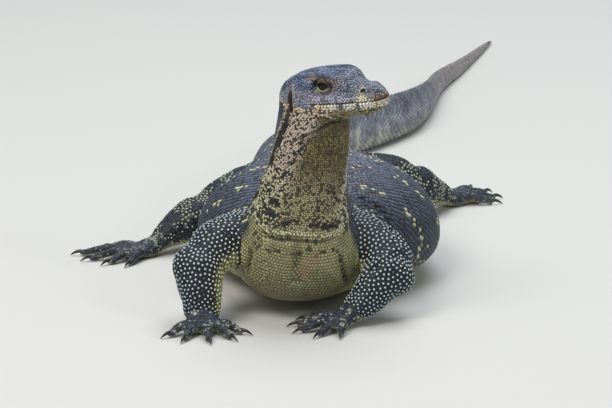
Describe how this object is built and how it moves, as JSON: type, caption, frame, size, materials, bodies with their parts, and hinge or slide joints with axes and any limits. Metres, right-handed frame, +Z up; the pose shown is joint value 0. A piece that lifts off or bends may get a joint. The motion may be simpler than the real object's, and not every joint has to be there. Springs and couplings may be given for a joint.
{
  "type": "water monitor lizard model",
  "caption": "Life-size still model of a water monitor resting on the ground, head raised and turned to its left, with spread legs and a long tail trailing behind.",
  "frame": {"origin": "middle of the model's box, on the ground that it rests on", "axes": "+Z up; -Y the way the chest faces, with the tail trailing towards +Y; +X the lizard's left"},
  "size_m": [0.5142, 1.4877, 0.2778],
  "materials": {
    "head_skin": "fine dry scales, slate grey, satin",
    "jaw_skin": "smooth pale lip scales with dark bars, satin",
    "neck_skin": "small ochre scales with black specks, satin",
    "torso_skin": "rows of slate grey scales with cream flecks, satin",
    "tail_skin": "keeled grey scales in rings, satin",
    "arm_skin": "blue-black scales with cream spots, satin",
    "leg_skin": "blue-black scales with cream spots, satin",
    "foot_skin": "dark scales with small pale spots, satin",
    "eye": "wet gloss",
    "claw": "polished horn"
  },
  "bodies": {
    "root": {"head": "head_skin", "lower_jaw": "jaw_skin", "eye_left": "eye", "eye_right": "eye", "neck": "neck_skin", "torso": "torso_skin", "tail_1": "tail_skin", "tail_2": "tail_skin", "tail_3": "tail_skin", "tail_4": "tail_skin", "upper_arm_left": "arm_skin", "forearm_left": "arm_skin", "hand_left": "foot_skin", "thigh_left": "leg_skin", "shin_left": "leg_skin", "foot_left": "foot_skin", "hand_claw_left_1": "claw", "hand_claw_left_2": "claw", "hand_claw_left_3": "claw", "hand_claw_left_4": "claw", "hand_claw_left_5": "claw", "foot_claw_left_1": "claw", "foot_claw_left_2": "claw", "foot_claw_left_3": "claw", "foot_claw_left_4": "claw", "foot_claw_left_5": "claw", "upper_arm_right": "arm_skin", "forearm_right": "arm_skin", "hand_right": "foot_skin", "thigh_right": "leg_skin", "shin_right": "leg_skin", "foot_right": "foot_skin", "hand_claw_right_1": "claw", "hand_claw_right_2": "claw", "hand_claw_right_3": "claw", "hand_claw_right_4": "claw", "hand_claw_right_5": "claw", "foot_claw_right_1": "claw", "foot_claw_right_2": "claw", "foot_claw_right_3": "claw", "foot_claw_right_4": "claw", "foot_claw_right_5": "claw"}
  },
  "joints": []
}
